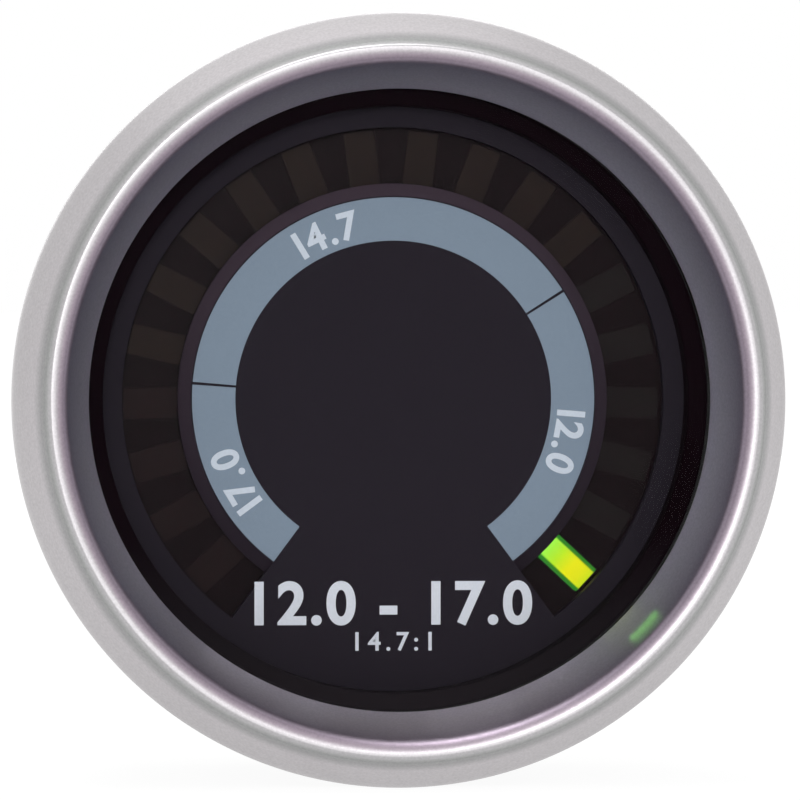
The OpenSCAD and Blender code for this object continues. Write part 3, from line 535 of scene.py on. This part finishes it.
def make_window():
    """The smoked filter, thinner from its back."""
    window = copied("smoke_filter", "smoked_window")
    pick(window)
    front = Vector((0, smoke_box[0].y, 0))
    bpy.ops.transform.resize(value=(1, WINDOW_SHARE, 1), center_override=front)
    dress(put_down(window, 20), smoked_plastic(), "case", "smoke_tint", "smoke_filter")


# The print on the dial

INK_T = 0.03 * MM
BAND_IN_R = 11.82 * MM
BAND_OUT_R = 15.05 * MM
BAND_END = math.radians(143.5)
# Angles from the top to the lines between the band's parts, clockwise
LEAN_LINE = math.radians(-85.4)
RICH_LINE = math.radians(57.6)
LINE_W = 0.19 * MM


def band_part(name, start, end):
    """A printed part of the ring between two angles from the top."""
    steps = max(8, round(96 * (end - start) / math.pi))
    piece = draw_outline(name, [(0, DIAL_FRONT, BAND_IN_R), (0, DIAL_FRONT, BAND_OUT_R)], closed=False)
    bpy.ops.object.mode_set(mode="OBJECT")
    pick(piece)
    bpy.ops.object.transform_apply(location=True, rotation=True, scale=True)
    piece.rotation_euler = (0, start, 0)
    bpy.ops.object.transform_apply(location=False, rotation=True, scale=False)
    bpy.ops.object.mode_set(mode="EDIT")
    bpy.ops.mesh.select_all(action="SELECT")
    bpy.ops.mesh.spin(steps=steps, angle=start - end, center=(0, 0, 0), axis=(0, 1, 0))
    bpy.ops.mesh.select_all(action="SELECT")
    bpy.ops.mesh.extrude_region_move(TRANSFORM_OT_translate={"value": (0, -INK_T, 0)})
    weld_and_turn_out()
    return put_down(piece, 30)


def make_band():
    ink = printed("band ink", (0.208, 0.272, 0.348))
    gap = LINE_W / (BAND_IN_R + BAND_OUT_R)
    parts = {
        "band_lean": (-BAND_END, LEAN_LINE - gap),
        "band_centre": (LEAN_LINE + gap, RICH_LINE - gap),
        "band_rich": (RICH_LINE + gap, BAND_END),
    }
    for name, (start, end) in parts.items():
        dress(band_part(name, start, end), ink, "case", "dial_face")


# Height of the built-in figures at size 1, with the weight that is added round them
FIGURE_H = 0.73
# Thickness of the figures at size 1, half of it on each side
FIGURE_T = 0.02


def printed_text(name, text, height, weight, spacing=1.0):
    """Plain figures as thin ink, standing on z = 0 and centred on x = 0, facing the viewer."""
    deselect()
    bpy.ops.object.text_add()
    piece = bpy.context.object
    piece.name = name
    piece.data.body = text
    piece.data.resolution_u = 8
    piece.data.offset = weight
    piece.data.space_character = spacing
    piece.data.extrude = FIGURE_T / 2
    bpy.ops.object.convert(target="MESH")
    piece = bpy.context.object
    corners = [v.co for v in piece.data.vertices]
    low_x, high_x = min(c.x for c in corners), max(c.x for c in corners)
    tall = height / FIGURE_H
    piece.scale = (tall, tall, INK_T / FIGURE_T)
    piece.location = (-tall * (low_x + high_x) / 2, 0, 0)
    bpy.ops.object.transform_apply(location=True, rotation=True, scale=True)
    piece.rotation_euler = (math.pi / 2, 0, 0)
    bpy.ops.object.transform_apply(location=False, rotation=True, scale=False)
    return piece, tall * (high_x - low_x)


def place_text(piece, ink, front, up, turn=0.0):
    """Moves figures up from the axis, turns them clockwise about it and lays them on the dial."""
    piece.location = (0, front - INK_T / 2, up)
    pick(piece)
    bpy.ops.object.transform_apply(location=True, rotation=True, scale=True)
    piece.rotation_euler = (0, turn, 0)
    bpy.ops.object.transform_apply(location=False, rotation=True, scale=False)
    dress(piece, ink, "case", "dial_face")


def curved_number(name, text, height, foot_r, middle, ink, front):
    """A number whose figures stand round the axis, tops outwards, about a middle angle from the top."""
    space = 0.16 * height
    made = [printed_text(f"{name}_{i}", sign, height, 0.028) for i, sign in enumerate(text)]
    total = sum(width for _, width in made) + space * (len(made) - 1)
    gone = 0.0
    for piece, width in made:
        turn = middle + (gone + width / 2 - total / 2) / (foot_r + height / 2)
        place_text(piece, ink, front, up=foot_r, turn=turn)
        gone += width + space


def make_numbers():
    white = printed("white ink", (0.72, 0.76, 0.83))
    on_band = printed("pale ink", (0.62, 0.69, 0.78))
    band_front = DIAL_FRONT - INK_T
    on_band_h = 2.1 * MM
    foot_r = (BAND_IN_R + BAND_OUT_R - on_band_h) / 2
    for name, text, middle in (("lean_number", "17.0", -117), ("centre_number", "14.7", -22),
                               ("rich_number", "12.0", 104)):
        curved_number(name, text, on_band_h, foot_r, math.radians(middle), on_band, band_front)
    large, _ = printed_text("large_number", "12.0 - 17.0", 3.2 * MM, 0.03, 1.12)
    place_text(large, white, DIAL_FRONT, up=-16.72 * MM)
    small, _ = printed_text("small_number", "14.7:1", 1.42 * MM, 0.016, 1.35)
    place_text(small, white, DIAL_FRONT, up=-18.75 * MM)


# The back

def make_case():
    dress(copied("case", "case_cup", 0.12 * MM), moulded_case(), "case", "case_plastic", "case")


def make_socket():
    nylon = plain_plastic("natural nylon", (0.6, 0.58, 0.5), 0.45, 1200)
    shroud = copied("harness_socket", "socket_shroud", 0.1 * MM)
    dress(shroud, nylon, "case", "socket_nylon", "harness_socket")


def make_bracket():
    steel = plated("bracket zinc", (0.52, 0.53, 0.52), 0.34, 1400, (1, 1, 0.12))
    dress(copied("bracket", "strap", 0.12 * MM), steel, "bracket", "bracket_steel", "bracket")


THREAD_PITCH = 25.4 / 32 * MM
THREAD_DEPTH = 0.42 * MM
STUD_R = 2.083 * MM
STUD_Z = 16.0 * MM
HEAD_FLATS = 8.73 * MM
HEAD_H = 3.3 * MM


def thread(name, up):
    """The stud's thread: one V drawn over a pitch and swept round by the screw modifier."""
    root = STUD_R - THREAD_DEPTH
    start, end = CASE_BACK, STUD_TIP_Y - 0.55 * MM
    turns = int((end - start) / THREAD_PITCH)
    flat = THREAD_PITCH / 8
    section = [(root, start), (root, start + flat), (STUD_R, start + THREAD_PITCH / 2 - flat / 2),
               (STUD_R, start + THREAD_PITCH / 2 + flat / 2), (root, start + THREAD_PITCH)]
    piece = draw_outline(name, [(r, y, 0) for r, y in section], closed=False)
    put_down(piece)
    sweep = piece.modifiers.new("sweep", "SCREW")
    sweep.axis = "Y"
    sweep.steps = sweep.render_steps = 36
    sweep.screw_offset = THREAD_PITCH
    sweep.iterations = turns
    sweep.use_merge_vertices = True
    sweep.merge_threshold = WELD
    bpy.ops.object.modifier_apply(modifier=sweep.name)
    piece.location.z += up
    bpy.ops.object.mode_set(mode="EDIT")
    weld_and_turn_out()
    return put_down(piece, 40)


def stud_core(name, up):
    """The stud under its thread: a plain neck in the case's wall and a bevelled tip."""
    root = STUD_R - THREAD_DEPTH
    neck = CASE_BACK + 0.05 * MM
    inner = stud_box[0].y + HEAD_H
    core_r, tip_r = root + 0.01 * MM, STUD_R - 0.2 * MM
    points = [(0, inner), (STUD_R, inner), (STUD_R, neck), (core_r, neck + 0.1 * MM),
              (core_r, STUD_TIP_Y - 0.8 * MM), (tip_r, STUD_TIP_Y - 0.75 * MM),
              (tip_r, STUD_TIP_Y - 0.3 * MM), (STUD_R - 0.5 * MM, STUD_TIP_Y), (0, STUD_TIP_Y)]
    piece = turned(name, points, closed=False, steps=48)
    bpy.ops.object.mode_set(mode="OBJECT")
    piece.location.z += up
    return put_down(piece, 30)


def stud_head(name, up):
    """The hexagon head that the case's pocket holds."""
    deselect()
    bpy.ops.mesh.primitive_cylinder_add(
        vertices=6, radius=HEAD_FLATS / math.sqrt(3), depth=HEAD_H,
        location=(0, stud_box[0].y + HEAD_H / 2, up), rotation=(math.pi / 2, 0, 0))
    piece = bpy.context.object
    piece.name = name
    bpy.ops.object.mode_set(mode="EDIT")
    bpy.ops.mesh.bevel(offset=0.25 * MM, segments=2, affect="EDGES")
    return put_down(piece, 30)


def make_studs():
    zinc = plated("stud zinc", (0.62, 0.62, 0.6), 0.3, 1500, (1, 0.3, 1))
    for side, up in (("upper", STUD_Z), ("lower", -STUD_Z)):
        parts = [thread(f"{side}_stud", up), stud_core(f"{side}_core", up), stud_head(f"{side}_head", up)]
        deselect()
        for part in parts:
            part.select_set(True)
        bpy.context.view_layer.objects.active = parts[0]
        bpy.ops.object.join()
        dress(parts[0], zinc, "case", "zinc_steel", "mounting_studs")


def make_fasteners():
    zinc = plated("washer zinc", (0.62, 0.62, 0.6), 0.32, 1500)
    yellow = plated("jam nut zinc", (0.62, 0.59, 0.5), 0.3, 1500)
    dress(copied("stud_washers", "flat_washers", 0.06 * MM), zinc, "case", "zinc_steel", "stud_washers")
    dress(copied("jam_nuts", "hex_nuts", 0.08 * MM), yellow, "case", "zinc_steel", "jam_nuts")
    dress(copied("lock_washers", "split_washers", 0.06 * MM), zinc, "bracket", "zinc_steel", "lock_washers")


def make_thumb_nuts():
    brass = plated("fluted brass", (0.68, 0.53, 0.26), 0.26, 2000, (1, 0.25, 1))
    for side in ("upper", "lower"):
        node = f"{side}_thumb_nut"
        dress(copied(node, f"{side}_fluted_nut", 0.05 * MM), brass, f"{side}_nut", "nut_brass", node)


# Around the gauge

FLOOR_Z = -28.7 * MM
# How white the floor is to the eye, and the share of that white in what the eye sees
FLOOR_WHITE = 1.09
FLOOR_SHARE = 0.86
# The level of the light that comes from all round
ROUND_LIGHT = 0.68
# The camera looks at the rim's shoulder, from the left and a little above
AIM = Vector((-0.1, -4, 0.05)) * MM
CAMERA_AZIMUTH = math.radians(-4.8)
CAMERA_ELEVATION = math.radians(1.0)
CAMERA_DISTANCE = 0.55
VIEW_WIDTH = 58.93 * MM
SENSOR_W = 36


def make_floor():
    """A pale floor that is white to the eye and keeps a faint shadow."""
    deselect()
    bpy.ops.mesh.primitive_plane_add(size=12, location=(0, 0, FLOOR_Z))
    floor = bpy.context.object
    floor.name = "floor"
    made = Finish("pale floor", (0.85, 0.85, 0.85), 0.8, shine=0.0)
    made.colour(made.ramp(made.noise(3), shades((0.85, 0.85, 0.85), 0.01)))
    seen = made.nodes.new("ShaderNodeLightPath")
    white = made.nodes.new("ShaderNodeEmission")
    white.inputs["Color"].default_value = (1, 1, 1, 1)
    white.inputs["Strength"].default_value = FLOOR_WHITE
    either = made.maths("MAXIMUM", seen.outputs["Is Camera Ray"], seen.outputs["Is Glossy Ray"])
    mix = made.nodes.new("ShaderNodeMixShader")
    made.link(made.maths("MULTIPLY", either, FLOOR_SHARE), mix.inputs["Fac"])
    made.link(made.shader.outputs["BSDF"], mix.inputs[1])
    made.link(white.outputs["Emission"], mix.inputs[2])
    made.link(mix.outputs["Shader"], made.nodes["Material Output"].inputs["Surface"])
    floor.data.materials.append(made.material)


def make_world():
    """White to the eye and in gloss, and a plain soft level for the light on matt surfaces."""
    world = bpy.data.worlds.new("tent")
    bpy.context.scene.world = world
    world.use_nodes = True
    nodes, links = world.node_tree.nodes, world.node_tree.links
    soft = nodes["Background"]
    soft.inputs["Color"].default_value = (1, 1, 1, 1)
    soft.inputs["Strength"].default_value = ROUND_LIGHT
    seen_white = nodes.new("ShaderNodeBackground")
    seen_white.inputs["Color"].default_value = (1, 1, 1, 1)
    seen_white.inputs["Strength"].default_value = 1.0
    path = nodes.new("ShaderNodeLightPath")
    mix = nodes.new("ShaderNodeMixShader")
    first, second = nodes.new("ShaderNodeMath"), nodes.new("ShaderNodeMath")
    first.operation = second.operation = "MAXIMUM"
    links.new(path.outputs["Is Camera Ray"], first.inputs[0])
    links.new(path.outputs["Is Glossy Ray"], first.inputs[1])
    links.new(first.outputs["Value"], second.inputs[0])
    links.new(path.outputs["Is Transmission Ray"], second.inputs[1])
    links.new(second.outputs["Value"], mix.inputs["Fac"])
    links.new(soft.outputs["Background"], mix.inputs[1])
    links.new(seen_white.outputs["Background"], mix.inputs[2])
    links.new(mix.outputs["Shader"], nodes["World Output"].inputs["Surface"])


def soft_lamp(name, place, size, watts):
    """A round soft lamp that shines on the gauge's middle."""
    data = bpy.data.lights.new(name, "AREA")
    data.shape = "DISK"
    data.size = size
    data.energy = watts
    lamp = bpy.data.objects.new(name, data)
    bpy.context.scene.collection.objects.link(lamp)
    lamp.location = place
    lamp.rotation_euler = (-Vector(place)).to_track_quat("-Z", "Y").to_euler()
    lamp.visible_camera = False
    return lamp


def make_lamps():
    """A lamp by the camera, which the crest mirrors, and soft ones overhead and behind."""
    soft_lamp("front_lamp", (-0.1, -0.9, 0.16), 0.22, 1.8)
    soft_lamp("top_lamp", (-0.1, -0.24, 0.9), 0.4, 3.0)
    soft_lamp("roof_lamp", (-0.1, 0.55, 0.75), 0.9, 0.5)
    soft_lamp("back_lamp", (0.1, 0.95, 0.15), 0.5, 1.2)


# The lit cell's light on the rim's inner flank
GLOW_L = 2.6 * MM
GLOW_W = 0.3 * MM
GLOW_R = 23.2 * MM
GLOW_FORWARD = 6.15 * MM
GLOW_WATTS = 0.0000045


def make_cell_glow():
    """A small green lamp in front of the lit cell, which shines outwards and forwards on the flank."""
    out, back = Vector((math.cos(LIT_ANGLE), 0, math.sin(LIT_ANGLE))), Vector((0, 1, 0))
    glow = soft_lamp("cell_glow", (0, 0, 0), GLOW_L, GLOW_WATTS)
    glow.data.shape = "RECTANGLE"
    glow.data.size_y = GLOW_W
    glow.data.color = (0.25, 1.0, 0.12)
    glow.location = GLOW_R * out - GLOW_FORWARD * back
    away = (1.2 * back - out).normalized()
    along = back.cross(out)
    glow.rotation_euler = Matrix((along, away.cross(along), away)).transposed().to_euler()


def make_camera():
    data = bpy.data.cameras.new("camera")
    data.sensor_width = SENSOR_W
    data.lens = SENSOR_W * CAMERA_DISTANCE / VIEW_WIDTH
    data.clip_start = 0.01
    data.clip_end = 50
    camera = bpy.data.objects.new("camera", data)
    bpy.context.scene.collection.objects.link(camera)
    level = math.cos(CAMERA_ELEVATION)
    towards = Vector((math.sin(CAMERA_AZIMUTH) * level, -math.cos(CAMERA_AZIMUTH) * level,
                      math.sin(CAMERA_ELEVATION)))
    camera.location = AIM + towards * CAMERA_DISTANCE
    camera.rotation_euler = (-towards).to_track_quat("-Z", "Y").to_euler()
    bpy.context.scene.camera = camera


make_camera()
assign_finishes()
make_rim()
make_lens()
make_spacer()
make_window()
make_band()
make_numbers()
make_case()
make_socket()
make_bracket()
make_studs()
make_fasteners()
make_thumb_nuts()
make_floor()
make_world()
make_lamps()
make_cell_glow()
bpy.context.scene.view_settings.view_transform = "Standard"
